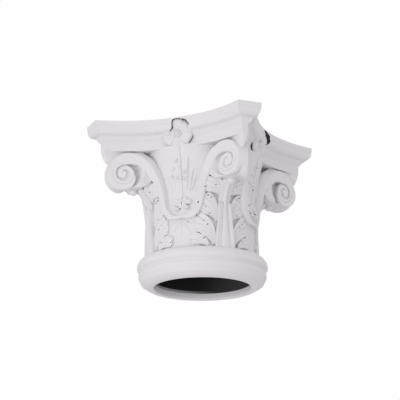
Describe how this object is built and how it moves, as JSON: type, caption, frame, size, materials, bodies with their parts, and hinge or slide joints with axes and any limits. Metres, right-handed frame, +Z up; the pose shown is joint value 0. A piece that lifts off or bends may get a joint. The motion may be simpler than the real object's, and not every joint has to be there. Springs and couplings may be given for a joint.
{
  "type": "corinthian capital",
  "caption": "Corinthian column capital with a neck ring, corner acanthus leaves, lyre-shaped stems curling into corner volutes, rosettes and a hollow-sided abacus, open through the middle.",
  "frame": {"origin": "middle of the underside of the neck ring, on the vertical axis", "axes": "+Z up along the axis from the neck ring to the abacus; X and Y square to the abacus sides; the side that faces -Y is the left one of the two in the picture"},
  "size_m": [0.3846, 0.3846, 0.327],
  "materials": {
    "casting": "white primed satin"
  },
  "bodies": {
    "root": {"capital": "casting"}
  },
  "joints": []
}
